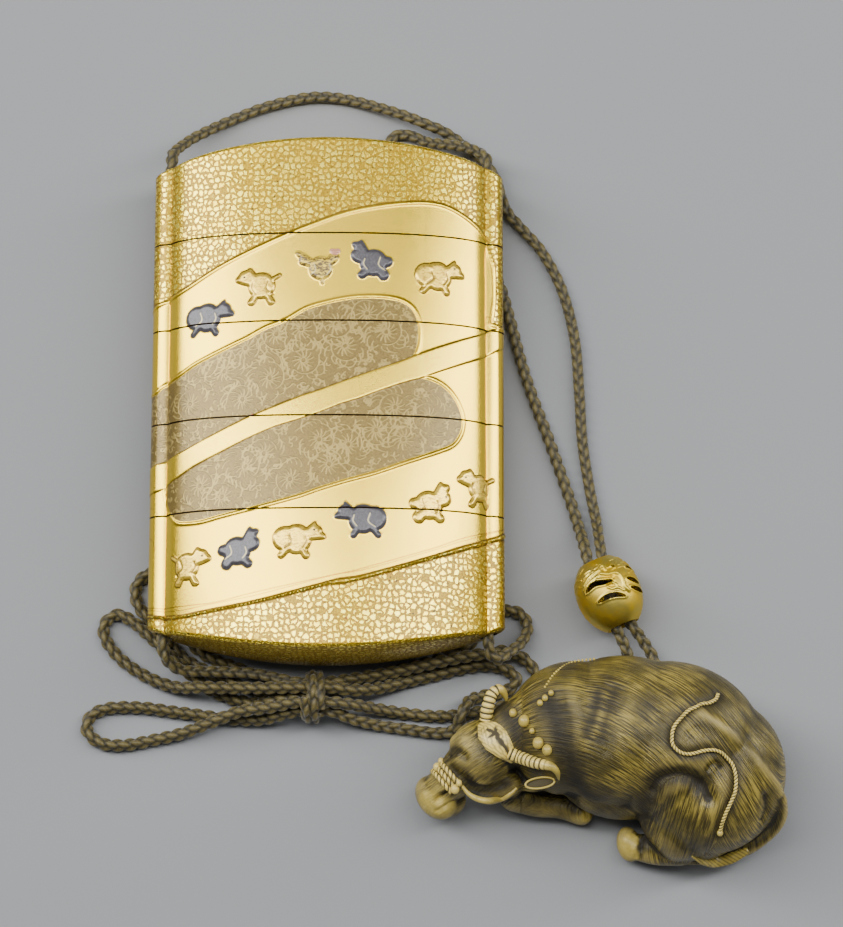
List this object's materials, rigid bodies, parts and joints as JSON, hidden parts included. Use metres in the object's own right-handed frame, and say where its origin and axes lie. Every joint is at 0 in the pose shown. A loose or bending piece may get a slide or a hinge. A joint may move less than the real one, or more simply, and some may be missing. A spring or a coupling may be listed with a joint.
{
  "type": "inro",
  "caption": "Stacked oval case with cord channels in both sides, strung on a looped silk cord with a pierced bead and a carved recumbent ox toggle.",
  "frame": {"origin": "middle of the flat spot on the case's back", "axes": "+Y along the case towards the lid, +X across it, +Z out of its decorated face"},
  "size_m": [0.1116, 0.1316, 0.0239],
  "materials": {
    "gold_lacquer": "polished lacquer over gold powder and flakes",
    "bead_gold": "worn gilt, pierced",
    "stained_ivory": "stained and polished carving",
    "silk_cord": "round braid"
  },
  "bodies": {
    "root": {"lid": "gold_lacquer", "top_case": "gold_lacquer", "second_case": "gold_lacquer", "third_case": "gold_lacquer", "bottom_case": "gold_lacquer", "ojime_bead": "bead_gold", "netsuke_ox": "stained_ivory", "cord_binding": "silk_cord", "cord_left_strand": "silk_cord", "cord_right_strand": "silk_cord", "cord_netsuke_strand_a": "silk_cord", "cord_netsuke_strand_b": "silk_cord", "cord_case_left_end": "silk_cord", "cord_loop_upper_left": "silk_cord", "cord_loop_under_left": "silk_cord", "cord_loop_lower_left": "silk_cord", "cord_loop_outer_right": "silk_cord", "cord_loop_inner_right": "silk_cord", "cord_case_right_end": "silk_cord"}
  },
  "joints": []
}
